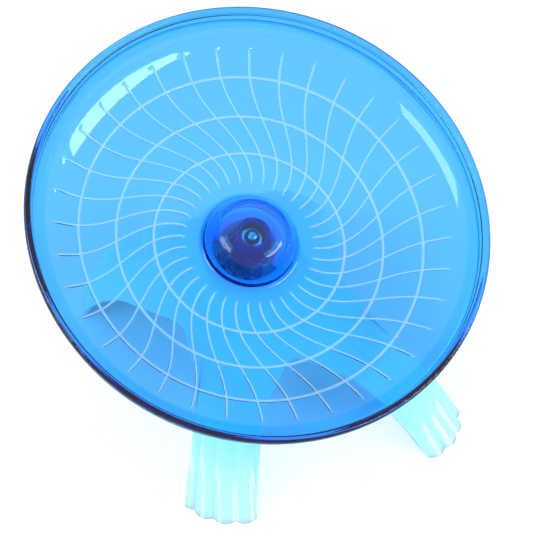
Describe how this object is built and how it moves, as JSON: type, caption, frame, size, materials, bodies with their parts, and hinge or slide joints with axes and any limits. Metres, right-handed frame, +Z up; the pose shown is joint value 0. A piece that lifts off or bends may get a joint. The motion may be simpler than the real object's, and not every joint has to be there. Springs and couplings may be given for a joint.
{
  "type": "hamster saucer wheel",
  "caption": "Clear blue hamster running saucer with curled grip ribs, spinning on a tilted axle in a hollow frosted stand with four fluted legs.",
  "frame": {"origin": "on the ground, directly under the middle of the saucer's rim, which is also the middle of the stand's footprint", "axes": "+Z up; -Y towards the front, the way the saucer leans; +X to the right seen from the front"},
  "size_m": [0.18, 0.1614, 0.1206],
  "materials": {
    "clear_blue": "clear blue moulded plastic, polished",
    "frosted_aqua": "milky pale blue moulded plastic, smooth",
    "deep_blue": "dark blue moulded plastic",
    "white_acetal": "plain white bearing plastic",
    "steel": "zinc-plated steel"
  },
  "bodies": {
    "stand_body": {"stand": "frosted_aqua", "axle_bolt": "steel", "bolt_head_washer": "steel", "clamp_nut": "steel", "lower_thrust_washer": "steel", "upper_thrust_washer": "steel", "cap_nut": "steel"},
    "saucer": {"saucer_dish": "clear_blue", "hub_sleeve": "deep_blue", "upper_bush": "white_acetal", "lower_bush": "white_acetal", "locking_collar": "deep_blue"}
  },
  "joints": [
    {"name": "saucer_spin", "type": "hinge", "parent": "stand_body", "child": "saucer", "pos_m": [0, 0.0157, 0.04934], "axis": [0, -0.4617, 0.887], "continuous": true}
  ]
}
